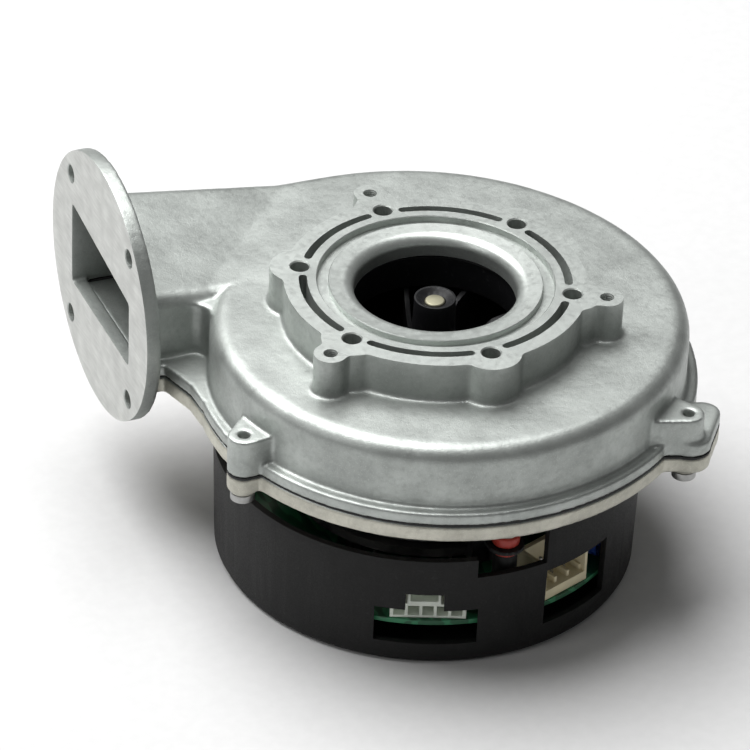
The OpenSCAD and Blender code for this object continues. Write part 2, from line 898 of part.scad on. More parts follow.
// A spider: a hub plate, three arms, and on each arm a riser and an eye that grips an isolator
module motor_carrier() {
    eye_out_r = 6.2;
    arm_w = 11;
    riser_r = 46.5;
    eye_top_z = isolator_neck_top_z;
    color([0.1, 0.1, 0.1])
        difference() {
            union() {
                tube(carrier_hub_r, tube_r, carrier_bottom_z, carrier_top_z);
                for (angle = isolator_angles)
                    rotate([0, 0, angle]) {
                        box_between([carrier_hub_r - 6, -arm_w / 2, carrier_bottom_z],
                            [riser_r, arm_w / 2, carrier_top_z]);
                        box_between([riser_r - 4, -arm_w / 2, carrier_bottom_z],
                            [riser_r, arm_w / 2, eye_top_z]);
                        box_between([riser_r - 4, -arm_w / 2, eye_top_z - isolator_neck_t],
                            [isolator_pcd_r, arm_w / 2, eye_top_z]);
                        translate([isolator_pcd_r, 0, eye_top_z - isolator_neck_t])
                            cylinder(r = arm_w / 2, h = isolator_neck_t);
                    }
                for (angle = board_screw_angles)
                    at_polar(board_screw_r, angle)
                        translate([0, 0, pcb_top_z])
                            cylinder(r = 3, h = carrier_bottom_z - pcb_top_z + 1);
            }
            for (angle = isolator_angles)
                at_polar(isolator_pcd_r, angle)
                    translate([0, 0, eye_top_z - 5])
                        cylinder(r = isolator_neck_r, h = 8);
            for (i = [0:2])
                at_polar(15, 30 + 120 * i)
                    translate([0, 0, carrier_bottom_z - 1])
                        cylinder(r = 1.3, h = 6);
            for (i = [0:3])
                at_polar(32.6, 180 + 40 * i)
                    box_between([-1.2, -1.2, carrier_bottom_z - 1], [1.2, 1.2, carrier_top_z + 1]);
            for (angle = board_screw_angles)
                at_polar(board_screw_r, angle)
                    translate([0, 0, pcb_top_z - 1])
                        cylinder(r = 1.05, h = 7);
        }
}

// ---- isolators ----

module isolator(angle) {
    lobe_round = 0.5;
    neck_bottom_z = isolator_neck_top_z - isolator_neck_t;
    color([0.68, 0.16, 0.13])
        at_polar(isolator_pcd_r, angle)
            rotate_extrude()
                polygon([[sleeve_r, isolator_bottom_z], [isolator_r - lobe_round, isolator_bottom_z],
                    [isolator_r, isolator_bottom_z + lobe_round], [isolator_r, neck_bottom_z - lobe_round],
                    [isolator_r - lobe_round, neck_bottom_z], [isolator_neck_r, neck_bottom_z],
                    [isolator_neck_r, isolator_neck_top_z], [isolator_r - lobe_round, isolator_neck_top_z],
                    [isolator_r, isolator_neck_top_z + lobe_round], [isolator_r, isolator_top_z - lobe_round],
                    [isolator_r - lobe_round, isolator_top_z], [sleeve_r, isolator_top_z]]);
}

module isolator_front() { isolator(isolator_angles[0]); }
module isolator_right() { isolator(isolator_angles[1]); }
module isolator_left() { isolator(isolator_angles[2]); }

module isolator_sleeves() {
    color([0.7, 0.7, 0.7])
        for (angle = isolator_angles)
            at_polar(isolator_pcd_r, angle)
                tube(sleeve_r, motor_screw_r + 0.1, isolator_bottom_z, isolator_top_z);
}

module motor_screws() {
    head_seat_z = cover_bottom_z + 4.5;
    color([0.55, 0.55, 0.56])
        for (angle = isolator_angles)
            at_polar(isolator_pcd_r, angle) {
                translate([0, 0, head_seat_z])
                    cylinder(r = motor_screw_r, h = isolator_top_z + 7 - head_seat_z);
                difference() {
                    translate([0, 0, head_seat_z - 2])
                        cylinder(r = 2.5, h = 2);
                    translate([0, 0, head_seat_z - 3])
                        cylinder(r = 1.3, h = 2.2, $fn = 6);
                }
            }
}

// ---- circuit board ----

// Local frame of a connector: its mouth looks out along +X from x = 0, z = 0 on the board
module at_connector(face_r, angle) {
    rotate([0, 0, angle])
        translate([face_r, 0, pcb_top_z])
            children();
}

module circuit_board() {
    post_gap_r = 5;
    color([0.08, 0.35, 0.2])
        translate([0, 0, pcb_top_z - pcb_t])
            linear_extrude(pcb_t)
                difference() {
                    circle(pcb_r);
                    for (angle = isolator_angles)
                        rotate(angle)
                            translate([isolator_pcd_r, 0])
                                circle(post_gap_r);
                    for (angle = board_screw_angles)
                        rotate(angle)
                            translate([board_screw_r, 0])
                                circle(1.3);
                }
}

module board_screws() {
    head_z = pcb_top_z - pcb_t;
    color([0.6, 0.6, 0.6])
        for (angle = board_screw_angles)
            at_polar(board_screw_r, angle) {
                translate([0, 0, head_z])
                    cylinder(r = 1, h = 6);
                translate([0, 0, head_z - 1.6])
                    cylinder(r = 2.2, h = 1.6);
            }
}

module control_connector() {
    cell = 3.3;
    shell = 0.85;
    color([0.85, 0.86, 0.83])
        at_connector(control_face_r, control_angle)
            difference() {
                union() {
                    box_between([-control_depth, -control_w / 2, 0], [0, control_w / 2, control_h]);
                    translate([0, control_latch_y, 0])
                        box_between([-control_depth, -control_latch_w / 2, 0],
                            [0, control_latch_w / 2, control_latch_h]);
                }
                for (i = [0:control_ways - 1])
                    translate([0, (i - (control_ways - 1) / 2) * control_pitch, 0])
                        box_between([-9, -cell / 2, shell], [1, cell / 2, shell + cell]);
                translate([0, control_latch_y, 0])
                    box_between([-8, -control_latch_w / 2 + shell, control_h + shell],
                        [1, control_latch_w / 2 - shell, control_latch_h - shell]);
            }
}

module control_pins() {
    color([0.8, 0.78, 0.6])
        at_connector(control_face_r, control_angle)
            for (i = [0:control_ways - 1])
                translate([0, (i - (control_ways - 1) / 2) * control_pitch, 0])
                    box_between([-9, -0.4, 2.1], [-3, 0.4, 2.9]);
}

// Open-fronted header: floor, back wall and side cheeks, with ribs between the pins
module mains_connector() {
    cheek = 1;
    floor_h = 3.2;
    back_t = 1.6;
    rib_count = 4;
    color([0.88, 0.83, 0.7])
        at_connector(mains_face_r, mains_angle) {
            difference() {
                box_between([-mains_depth, -mains_w / 2, 0], [0, mains_w / 2, mains_h]);
                box_between([-mains_depth + back_t, -mains_w / 2 + cheek, floor_h],
                    [1, mains_w / 2 - cheek, mains_h + 1]);
                for (i = [-1:1])
                    translate([-mains_depth / 2, i * mains_pin_pitch, 1])
                        cylinder(r = 0.6, h = 6);
            }
            for (i = [0:rib_count - 1])
                translate([0, (i - (rib_count - 1) / 2) * mains_pin_pitch, 0])
                    box_between([-mains_depth + back_t, -0.5, floor_h], [-1.5, 0.5, floor_h + 2]);
        }
}

module mains_pins() {
    color([0.8, 0.8, 0.78])
        at_connector(mains_face_r, mains_angle)
            for (i = [-1:1])
                translate([-mains_depth / 2, i * mains_pin_pitch, 1])
                    cylinder(r = 0.55, h = 10);
}

module bulk_capacitor() {
    color([0.1, 0.12, 0.2])
        rotate([0, 0, 100])
            translate([50.5, -12, pcb_top_z + 6.5])
                rotate([-90, 0, 0])
                    cylinder(r = 6.3, h = 24);
}

module suppression_capacitor() {
    color([0.85, 0.7, 0.15])
        rotate([0, 0, 60])
            box_between([46, -8, pcb_top_z], [53, 8, pcb_top_z + 12]);
}

module line_choke() {
    color([0.25, 0.35, 0.25])
        at_polar(51.5, -5)
            tube(6.2, 3, pcb_top_z, pcb_top_z + 7);
}

module varistor() {
    color([0.12, 0.25, 0.6])
        rotate([0, 0, -49])
            translate([56, 0, pcb_top_z + 5.4])
                rotate([0, 90, 0])
                    cylinder(r = 5.2, h = 4.2, center = true);
}

module power_module() {
    color([0.12, 0.12, 0.12])
        rotate([0, 0, 200])
            box_between([44, -9, pcb_top_z], [50, 9, pcb_top_z + 3.4]);
}

// ---- motor cover ----

module cover_shell() {
    height = cover_high_z - cover_bottom_z;
    low_r = cover_r - cover_draft * 2;
    translate([0, 0, cover_bottom_z])
        rotate_extrude()
            polygon([[0, 0], [low_r - cover_floor_r, 0], [low_r - 0.7, 0.8], [low_r, cover_floor_r],
                [cover_r, height], [cover_r - cover_wall, height], [low_r - cover_wall, cover_floor_r + 1],
                [low_r - cover_wall - 1, cover_wall], [0, cover_wall]]);
}

// Ring sector used to cut the cover's rim down to height z between two angles
module rim_cut(from, to, z) {
    translate([0, 0, z])
        linear_extrude(60)
            difference() {
                pie(cover_r + 4, from, to - from);
                circle(cover_r - 10);
            }
}

// Rectangular window through the cover wall, wide in degrees and reaching from low to high
module cover_window(angle, width, low, high) {
    rotate([0, 0, angle])
        box_between([cover_r - 8, -width / 2, low], [cover_r + 4, width / 2, high]);
}

module motor_cover() {
    post_r = 3.6;
    screw_seat = 4.5;
    color([0.09, 0.09, 0.09])
        difference() {
            union() {
                difference() {
                    cover_shell();
                    rim_cut(cover_high_to, 360 + cover_high_from - 0.01, cover_rim_z);
                    for (angle = isolator_angles)
                        rim_cut(angle - notch_half_angle, angle + notch_half_angle, notch_floor_z);
                    cover_window(control_angle - 0.6, 30, -85, -72.8);
                    cover_window(control_angle - 1.1, 11.2, -74, -67);
                    cover_window(-68.4, 25, -84, -64.4);
                }
                for (angle = isolator_angles)
                    at_polar(isolator_pcd_r, angle)
                        translate([0, 0, cover_bottom_z + 1])
                            cylinder(r = post_r, h = isolator_bottom_z - cover_bottom_z - 1);
            }
            for (angle = isolator_angles)
                at_polar(isolator_pcd_r, angle) {
                    translate([0, 0, cover_bottom_z - 1])
                        cylinder(r = motor_screw_r + 0.15, h = 50);
                    translate([0, 0, cover_bottom_z - 1])
                        cylinder(r = 2.7, h = screw_seat + 1);
                }
        }
}

upper_casting();
lower_casting();
casing_gasket();
casing_screws();
shaft_seal();
impeller();
impeller_shroud();
hub_bush();
shaft();
rotor_cup();
rotor_magnet();
upper_bearing_inner();
lower_bearing_inner();
shaft_clip();
upper_bearing_outer();
lower_bearing_outer();
upper_bearing_balls();
lower_bearing_balls();
upper_bearing_cage();
lower_bearing_cage();
preload_spring();
bearing_tube();
tube_screws();
stator_core();
stator_insulator();
stator_windings();
winding_terminals();
motor_carrier();
isolator_front();
isolator_right();
isolator_left();
isolator_sleeves();
motor_screws();
circuit_board();
board_screws();
control_connector();
control_pins();
mains_connector();
mains_pins();
bulk_capacitor();
suppression_capacitor();
line_choke();
varistor();
power_module();
motor_cover();
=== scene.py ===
"""Combustion fan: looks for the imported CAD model, in its own frame (metres, +Z up the fan axis)."""
import json
import math

import bmesh
import bpy
import numpy as np
from mathutils import Matrix, Vector, noise


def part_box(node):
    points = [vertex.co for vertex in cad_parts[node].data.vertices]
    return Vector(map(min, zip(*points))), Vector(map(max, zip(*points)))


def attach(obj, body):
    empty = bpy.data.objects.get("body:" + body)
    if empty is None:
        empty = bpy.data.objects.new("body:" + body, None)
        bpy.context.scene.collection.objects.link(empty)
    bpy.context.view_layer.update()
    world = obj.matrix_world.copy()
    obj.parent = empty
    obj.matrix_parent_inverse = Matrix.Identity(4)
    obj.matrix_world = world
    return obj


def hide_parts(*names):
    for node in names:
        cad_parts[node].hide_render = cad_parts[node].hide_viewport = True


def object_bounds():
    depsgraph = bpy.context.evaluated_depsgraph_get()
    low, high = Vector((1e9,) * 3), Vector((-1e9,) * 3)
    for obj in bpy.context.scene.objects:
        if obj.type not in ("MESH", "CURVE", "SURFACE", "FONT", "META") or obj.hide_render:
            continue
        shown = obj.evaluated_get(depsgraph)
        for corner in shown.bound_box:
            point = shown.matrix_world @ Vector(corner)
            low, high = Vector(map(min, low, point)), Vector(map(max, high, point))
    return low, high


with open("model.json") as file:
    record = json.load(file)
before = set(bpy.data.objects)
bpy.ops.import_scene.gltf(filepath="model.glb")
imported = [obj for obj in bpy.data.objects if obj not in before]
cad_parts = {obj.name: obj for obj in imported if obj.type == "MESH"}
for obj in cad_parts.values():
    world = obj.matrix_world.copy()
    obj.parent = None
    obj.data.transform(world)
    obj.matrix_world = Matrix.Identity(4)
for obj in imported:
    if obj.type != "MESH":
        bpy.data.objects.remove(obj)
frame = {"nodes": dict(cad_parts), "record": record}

MM = 0.001
cad_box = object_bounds()
record = frame["record"]
mounts = {mount["name"]: mount for mount in record["mounts"]}
slot_of = {part["node"]: part["material_slot"] for part in record["subparts"]}
body_of = {node: body for body, nodes in record["behaviour"]["bodies"].items() for node in nodes}

# ---- materials ----


class Shader:
    """A Principled material whose textures are fixed to the piece they are on."""

    def __init__(self, name, roughness, metallic=0.0):
        self.material = bpy.data.materials.new(name)
        self.material.use_nodes = True
        self.nodes = self.material.node_tree.nodes
        self.links = self.material.node_tree.links
        self.surface = self.nodes["Principled BSDF"]
        self.surface.inputs["Roughness"].default_value = roughness
        self.surface.inputs["Metallic"].default_value = metallic
        self.place = self.nodes.new("ShaderNodeTexCoord").outputs["Object"]
        self.normal = None

    def stretched(self, x, y, z):
        """Texture coordinates squeezed along the axes, so that a pattern runs in one direction."""
        mapping = self.nodes.new("ShaderNodeMapping")
        mapping.inputs["Scale"].default_value = (x, y, z)
        self.links.new(self.place, mapping.inputs["Vector"])
        return mapping.outputs["Vector"]

    def noise(self, size_mm, detail=3.0, place=None):
        """Noise between 0 and 1 whose features are about size_mm across."""
        texture = self.nodes.new("ShaderNodeTexNoise")
        texture.inputs["Scale"].default_value = 1.0 / (size_mm * MM)
        texture.inputs["Detail"].default_value = detail
        self.links.new(place or self.place, texture.inputs["Vector"])
        return texture.outputs["Fac"]

    def between(self, factor, low, high, low_at=0.35, high_at=0.65):
        """A number that runs from low to high while factor runs from low_at to high_at."""
        ranged = self.nodes.new("ShaderNodeMapRange")
        for socket, value in zip(("From Min", "From Max", "To Min", "To Max"),
                                 (low_at, high_at, low, high)):
            ranged.inputs[socket].default_value = value
        self.links.new(factor, ranged.inputs["Value"])
        return ranged.outputs["Result"]

    def mixed(self, factor, first, second):
        """A colour that goes from first to second with factor; each is a colour or a node output."""
        mix = self.nodes.new("ShaderNodeMix")
        mix.data_type = "RGBA"
        self.links.new(factor, mix.inputs["Factor"])
        for socket, colour in ((mix.inputs[6], first), (mix.inputs[7], second)):
            if isinstance(colour, tuple):
                socket.default_value = (*colour, 1.0)
            else:
                self.links.new(colour, socket)
        return mix.outputs[2]

    def colour(self, output):
        self.links.new(output, self.surface.inputs["Base Color"])

    def roughness(self, output):
        self.links.new(output, self.surface.inputs["Roughness"])

    def bump(self, height, depth_mm):
        """A bump of depth_mm, on top of any bump already added."""
        node = self.nodes.new("ShaderNodeBump")
        node.inputs["Distance"].default_value = depth_mm * MM
        self.links.new(height, node.inputs["Height"])
        if self.normal:
            self.links.new(self.normal, node.inputs["Normal"])
        self.normal = node.outputs["Normal"]
        self.links.new(self.normal, self.surface.inputs["Normal"])


def scaled(colour, amount):
    return tuple(min(1.0, channel * amount) for channel in colour)


def cast_metal(name, colour, roughness, grain_mm=0.05, blotches=0.16):
    """Bead-blasted die-cast aluminium: faint flow marks, a grain whose crowns are painted lighter as
    sparkle (painted glints) and scattered pits.
    """
    shader = Shader(name, roughness, metallic=0.8)
    flow = shader.noise(14.0, 5.0)
    patches = shader.noise(1.7, 6.0)
    grain = shader.noise(0.4, 3.0)
    tone = shader.mixed(shader.between(flow, 0.0, 1.0), scaled(colour, 1 - blotches),
                        scaled(colour, 1 + blotches * 0.7))
    tone = shader.mixed(shader.between(patches, 0.0, 0.35, 0.48, 0.75), tone, scaled(colour, 0.7))
    # Lighter specks on the grain's crowns: painted glints standing in for the sparkle of the blasted
    # skin.
    tone = shader.mixed(shader.between(grain, 0.0, 0.4, 0.55, 0.72), tone, scaled(colour, 1.35))
    shader.colour(tone)
    shader.roughness(shader.between(patches, roughness - 0.04, roughness + 0.06))
    shader.bump(patches, grain_mm)
    shader.bump(grain, grain_mm)
    return shader.material


def machined_metal(name, colour, roughness, along):
    """A milled face: fine parallel tool marks over a lighter, cleaner metal."""
    shader = Shader(name, roughness, metallic=0.6)
    marks = shader.noise(0.5, 2.0, shader.stretched(*along))
    stains = shader.noise(6.0, 4.0)
    tone = shader.mixed(shader.between(stains, 0.0, 1.0), scaled(colour, 0.86), scaled(colour, 1.06))
    shader.colour(shader.mixed(shader.between(marks, 0.0, 0.4), tone, scaled(colour, 0.75)))
    shader.roughness(shader.between(marks, roughness - 0.06, roughness + 0.08))
    shader.bump(marks, 0.02)
    return shader.material


def plain_metal(name, colour, roughness, turned=False):
    """Ground, drawn or plated steel; turned metal has rings round the fan axis."""
    grain_mm = 0.8
    shader = Shader(name, roughness, metallic=0.9)
    place = shader.stretched(0.12, 0.12, 1.0) if turned else None
    streaks = shader.noise(grain_mm, 3.0, place)
    stains = shader.noise(grain_mm * 6, 4.0)
    shader.colour(shader.mixed(shader.between(stains, 0.0, 1.0), scaled(colour, 0.8), colour))
    shader.roughness(shader.between(streaks, roughness - 0.08, roughness + 0.1))
    shader.bump(streaks, 0.01)
    return shader.material


def moulded(name, colour, roughness, grain_mm=0.35, depth_mm=0.02, dust=0.0, shine=0.5):
    """Moulded plastic: spark-eroded grain, slightly uneven gloss, and a little dust when asked."""
    shader = Shader(name, roughness)
    shader.surface.inputs["Specular IOR Level"].default_value = shine
    grain = shader.noise(grain_mm, 3.0)
    cloud = shader.noise(18.0, 4.0)
    tone = shader.mixed(shader.between(cloud, 0.0, 1.0), scaled(colour, 0.86), scaled(colour, 1.1))
    if dust:
        specks = shader.noise(1.2, 6.0)
        tone = shader.mixed(shader.between(specks, 0.0, dust, 0.6, 0.8), tone, (0.5, 0.5, 0.48))
    shader.colour(tone)
    shader.roughness(shader.between(grain, roughness - 0.06, roughness + 0.08))
    shader.bump(grain, depth_mm)
    return shader.material


def glossy(name, colour, roughness, dip_mm=4.0):
    """Dipped or sleeved skin: smooth and glossy, with slow waves in its surface."""
    shader = Shader(name, roughness)
    waves = shader.noise(dip_mm, 2.0)
    shader.colour(shader.mixed(shader.between(waves, 0.0, 1.0), scaled(colour, 0.85),
                               scaled(colour, 1.15)))
    shader.roughness(shader.between(waves, roughness - 0.04, roughness + 0.08))
    shader.bump(waves, 0.15)
    return shader.material


def wound_wire(name, colour):
    """Enamelled wire laid in turns that run round each tooth, painted darker between the turns
    (painted shade) and lighter on their crowns (painted highlight).
    """
    shader = Shader(name, 0.35, metallic=0.8)
    turns = shader.noise(0.5, 1.0, shader.stretched(0.15, 0.15, 1.0))
    # Darker where the bump is low and lighter where it is high: painted shade between turns and
    # painted highlight on their crowns.
    shader.colour(shader.mixed(shader.between(turns, 0.0, 1.0), scaled(colour, 0.55),
                               scaled(colour, 1.2)))
    shader.roughness(shader.between(turns, 0.3, 0.5))
    shader.bump(turns, 0.12)
    return shader.material


def laminations(name, colour):
    """Stacked sheets, seen as fine level lines."""
    shader = Shader(name, 0.5, metallic=0.8)
    sheets = shader.noise(0.5, 0.0, shader.stretched(0.02, 0.02, 1.0))
    shader.colour(shader.mixed(shader.between(sheets, 0.0, 1.0), scaled(colour, 0.6),
                               scaled(colour, 1.2)))
    shader.roughness(shader.between(sheets, 0.42, 0.6))
    shader.bump(sheets, 0.05)
    return shader.material


def solder_resist(name, colour):
    """Green lacquer over copper tracks, which show as paler streets."""
    shader = Shader(name, 0.35)
    tracks = shader.noise(3.2, 0.0, shader.stretched(1.0, 0.35, 1.0))
    edge = shader.between(tracks, 0.0, 1.0, 0.48, 0.52)
    shader.colour(shader.mixed(edge, colour, scaled(colour, 2.2)))
    shader.roughness(shader.between(shader.noise(5.0), 0.28, 0.42))
    shader.bump(edge, 0.03)
    return shader.material


CAST = (0.43, 0.455, 0.435)
finishes = {
    "cast_aluminium": cast_metal("cast_aluminium", CAST, 0.45),
    "cast_aluminium_warm": cast_metal("cast_aluminium_warm", (0.56, 0.55, 0.48), 0.5),
    "gasket_black": moulded("gasket_black", (0.02, 0.02, 0.02), 0.7, depth_mm=0.03),
    "steel": plain_metal("steel", (0.42, 0.42, 0.41), 0.38),
    "bearing_steel": plain_metal("bearing_steel", (0.55, 0.55, 0.56), 0.22, turned=True),
    "seal_plastic": moulded("seal_plastic", (0.70, 0.68, 0.62), 0.5),
    "impeller_black": moulded("impeller_black", (0.007, 0.007, 0.008), 0.45, dust=0.04, shine=0.25),
    "shaft_steel": plain_metal("shaft_steel", (0.36, 0.345, 0.25), 0.45, turned=True),
    "magnet": moulded("magnet", (0.05, 0.05, 0.055), 0.6, depth_mm=0.05),
    "lamination": laminations("lamination", (0.20, 0.20, 0.21)),
    "copper": wound_wire("copper", (0.55, 0.20, 0.07)),
    "insulator": moulded("insulator", (0.72, 0.69, 0.58), 0.5),
    "cage_brass": plain_metal("cage_brass", (0.60, 0.42, 0.16), 0.3, turned=True),
    "carrier_black": moulded("carrier_black", (0.015, 0.015, 0.015), 0.55, depth_mm=0.03, shine=0.3),
    "silicone_red": moulded("silicone_red", (0.40, 0.035, 0.022), 0.42,
                            grain_mm=0.8, depth_mm=0.03, dust=0.1),
    "board_green": solder_resist("board_green", (0.015, 0.10, 0.045)),
    "connector_white": moulded("connector_white", (0.80, 0.85, 0.76), 0.38, depth_mm=0.01),
    "connector_beige": moulded("connector_beige", (0.88, 0.79, 0.54), 0.4, depth_mm=0.01),
    "contact_tin": plain_metal("contact_tin", (0.62, 0.61, 0.58), 0.3),
    "capacitor_sleeve": glossy("capacitor_sleeve", (0.02, 0.03, 0.06), 0.25),
    "film_yellow": glossy("film_yellow", (0.60, 0.38, 0.03), 0.3),
    "choke_green": glossy("choke_green", (0.06, 0.15, 0.07), 0.35),
    "varistor_blue": glossy("varistor_blue", (0.02, 0.06, 0.32), 0.25, dip_mm=2.0),
    "module_black": moulded("module_black", (0.02, 0.02, 0.02), 0.55),
    "cover_black": moulded("cover_black", (0.013, 0.013, 0.013), 0.55,
                           grain_mm=0.5, depth_mm=0.03, dust=0.02, shine=0.22),
}
polished_bell = cast_metal("polished_bell", scaled(CAST, 1.28), 0.38, grain_mm=0.015, blotches=0.07)
milled_flange = machined_metal("milled_flange", (0.61, 0.62, 0.595), 0.42,
                               along=(1.0, 0.06, 1.0))

for node, cad_object in frame["nodes"].items():
    cad_object.data.materials.clear()
    cad_object.data.materials.append(finishes[slot_of[node]])

# ---- mesh helpers ----
WELD_REACH = 0.002 * MM
FLAT_ANGLE = math.radians(0.5)
TURNED_STEPS = 180
FIRST_HOLE_DEGREES = {"inlet_bolts": 30, "inlet_tapped": 90}


def welded_copy(node, suffix):
    """A piece that starts as a welded copy of a CAD node, and stands for that node."""
    piece = bpy.data.objects.new(f"{node}_{suffix}", frame["nodes"][node].data.copy())
    bpy.context.scene.collection.objects.link(piece)
    shape = bmesh.new()
    shape.from_mesh(piece.data)
    bmesh.ops.remove_doubles(shape, verts=shape.verts, dist=WELD_REACH)
    bmesh.ops.dissolve_limit(shape, angle_limit=FLAT_ANGLE, verts=shape.verts, edges=shape.edges)
    shape.to_mesh(piece.data)
    shape.free()
    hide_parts(node)
    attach(piece, body_of[node])
    return piece


def settle(piece):
    """Turns the piece's modifiers into its mesh."""
    bpy.context.view_layer.update()
    evaluated = piece.evaluated_get(bpy.context.evaluated_depsgraph_get())
    piece.data = bpy.data.meshes.new_from_object(evaluated)
    piece.modifiers.clear()


def shade(piece, sharp_degrees):
    piece.data.shade_smooth()
    piece.data.set_sharp_from_angle(angle=math.radians(sharp_degrees))


def solid_of_rings(profile, steps=48, radius_at=None):
    """A closed turned solid along +Z from a profile of (radius, height) points, lowest first."""
    shape = bmesh.new()
    rings = []
    for row, (radius, height) in enumerate(profile):
        ring = []
        for step in range(steps):
            turn = 2 * math.pi * step / steps
            r = radius_at(radius, height, turn) if radius_at else radius
            ring.append(shape.verts.new((r * math.cos(turn), r * math.sin(turn), height)))
        rings.append(ring)
    for lower, upper in zip(rings, rings[1:]):
        for step in range(steps):
            after = (step + 1) % steps
            shape.faces.new((lower[step], lower[after], upper[after], upper[step]))
    shape.faces.new(rings[0][::-1])
    shape.faces.new(rings[-1])
    return shape


def add_shape(target, shape, matrix):
    """Adds a closed solid, placed by matrix, to a bmesh."""
    mesh = bpy.data.meshes.new("part")
    shape.to_mesh(mesh)
    shape.free()
    mesh.transform(matrix)
    target.from_mesh(mesh)
    bpy.data.meshes.remove(mesh)


def tool_object(shape, name):
    """A hidden object, used only to cut or fill another one while this script runs."""
    mesh = bpy.data.meshes.new(name)
    shape.to_mesh(mesh)
    shape.free()
    tool = bpy.data.objects.new(name, mesh)
    bpy.context.scene.collection.objects.link(tool)
    return tool


def cut(piece, shape):
    """Takes a closed solid away from a piece."""
    tool = tool_object(shape, "cutter")
    modifier = piece.modifiers.new("cut", "BOOLEAN")
    modifier.operation = "DIFFERENCE"
    modifier.solver = "MANIFOLD"
    modifier.object = tool
    settle(piece)
    bpy.data.objects.remove(tool)


def box_shape(low, high):
    shape = bmesh.new()
    bmesh.ops.create_cube(shape, size=1.0)
    for vert in shape.verts:
        for axis in range(3):
            vert.co[axis] = high[axis] if vert.co[axis] > 0 else low[axis]
    return shape


def prism_of(outline, low, high):
    """A closed upright solid from a plan outline, given anticlockwise, between two heights."""
    shape = bmesh.new()
    bottom = [shape.verts.new((x, y, low)) for x, y in outline]
    top = [shape.verts.new((x, y, high)) for x, y in outline]
    count = len(outline)
    for i in range(count):
        after = (i + 1) % count
        shape.faces.new((bottom[i], bottom[after], top[after], top[i]))
    shape.faces.new(bottom[::-1])
    shape.faces.new(top)
    return shape


def arc_points(centre, radius, start, end, steps):
    """Points along an arc in plan, both ends included."""
    return [(centre[0] + radius * math.cos(turn), centre[1] + radius * math.sin(turn))
            for turn in np.linspace(start, end, steps)]


def curved_slot(mid_r, width, middle, half_angle, low, high):
    """A round-ended slot that follows a circle round the fan axis; angles are in radians."""
    first, last, half = middle - half_angle, middle + half_angle, width / 2
    first_end = (mid_r * math.cos(first), mid_r * math.sin(first))
    last_end = (mid_r * math.cos(last), mid_r * math.sin(last))
    outline = arc_points((0, 0), mid_r + half, first, last, 32)
    outline += arc_points(last_end, half, last, last + math.pi, 10)[1:-1]
    outline += arc_points((0, 0), mid_r - half, last, first, 32)
    outline += arc_points(first_end, half, first + math.pi, first + 2 * math.pi, 10)[1:-1]
    return prism_of(outline, low, high)


def machined_hole(radius, depth, over, chamfer):
    """A drilled hole from height 0 down, with a chamfered mouth and its tool running out above."""
    return solid_of_rings([(radius, -depth), (radius, -chamfer), (radius + chamfer, 0),
                           (radius + chamfer, over)])


def threaded_hole(core, pitch, thread_depth, depth, over):
    """A tapped hole: a helical thread cut into the wall, and a countersunk mouth."""
    rows_per_turn = 6
    rows = int(depth / pitch * rows_per_turn)
    mouth = core + 1.3 * thread_depth

    def thread(radius, height, turn):
        if radius > core:
            return radius
        phase = (height / pitch - turn / (2 * math.pi)) % 1.0
        return radius + thread_depth * (1 - abs(2 * phase - 1))

    profile = [(core, -depth + depth * row / rows) for row in range(rows)]
    profile = [point for point in profile if point[1] < -1.2 * thread_depth]
    return solid_of_rings(profile + [(mouth, -0.1 * thread_depth), (mouth, over)], 36, thread)


def hole_places(mount_name):
    """Where each hole of a bolt pattern starts, as a matrix whose +Z points out of the face."""
    mount = mounts[mount_name]
    dims = mount["dims"]
    origin = Vector(mount["pos_m"])
    if "pcd_mm" in dims:
        for i in range(dims["count"]):
            turn = math.radians(FIRST_HOLE_DEGREES[mount_name] + 360 / dims["count"] * i)
            radial = Vector((math.cos(turn), math.sin(turn), 0))
            yield Matrix.Translation(origin + radial * dims["pcd_mm"] / 2 * MM)
    else:
        facing = Vector(mount["axis"]).to_track_quat("Z", "Y").to_matrix().to_4x4()
        half_y, half_z = dims["spacing_x_mm"] / 2 * MM, dims["spacing_y_mm"] / 2 * MM
        for side in (-1, 1):
            for level in (-1, 1):
                corner = Vector((0, side * half_y, level * half_z))
                yield Matrix.Translation(origin + corner) @ facing


# ---- castings ----

# The skin: what is left on to machine, the remesh's grid, and the size of its unevenness
STOCK = 0.8 * MM
VOXEL = 0.55 * MM
RIPPLE = 0.05 * MM
LONG_WAVE, SHORT_WAVE = 9 * MM, 3 * MM

# How near counts as on a plane, how far cutters run past, and half the width of the ring's facing cut
NEAR = 0.01 * MM
OVERRUN = 2 * MM
STOCK_MARGIN = 5 * MM
RING_REACH = 60 * MM

# The holes: how deep, their broken edges, and the M4 thread
INLET_DEPTH, TAPPED_DEPTH, FLANGE_DEPTH = 11 * MM, 10 * MM, 6 * MM
FLANGE_FILL = 4.4 * MM
FILL_PAST_DEPTH, FILL_PAST_RADIUS = 0.5 * MM, 0.6 * MM
FILL_BELOW_STOCK = 0.05 * MM
INLET_CHAMFER, FLANGE_CHAMFER = 0.35 * MM, 0.3 * MM
THREAD_PITCH, THREAD_DEPTH = 0.7 * MM, 0.25 * MM
upper_low, upper_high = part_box("upper_casting")
flange_x = mounts["outlet_face"]["pos_m"][0]
inlet_r = mounts["inlet_bolts"]["dims"]["hole_r_mm"] * MM
tapped_r = mounts["inlet_tapped"]["dims"]["hole_r_mm"] * MM
flange_r = mounts["outlet_bolts"]["dims"]["hole_r_mm"] * MM
FILLINGS = (("inlet_bolts", inlet_r, INLET_DEPTH + FILL_PAST_DEPTH),
            ("inlet_tapped", tapped_r, TAPPED_DEPTH + FILL_PAST_DEPTH),
            ("outlet_bolts", flange_r, FLANGE_FILL))

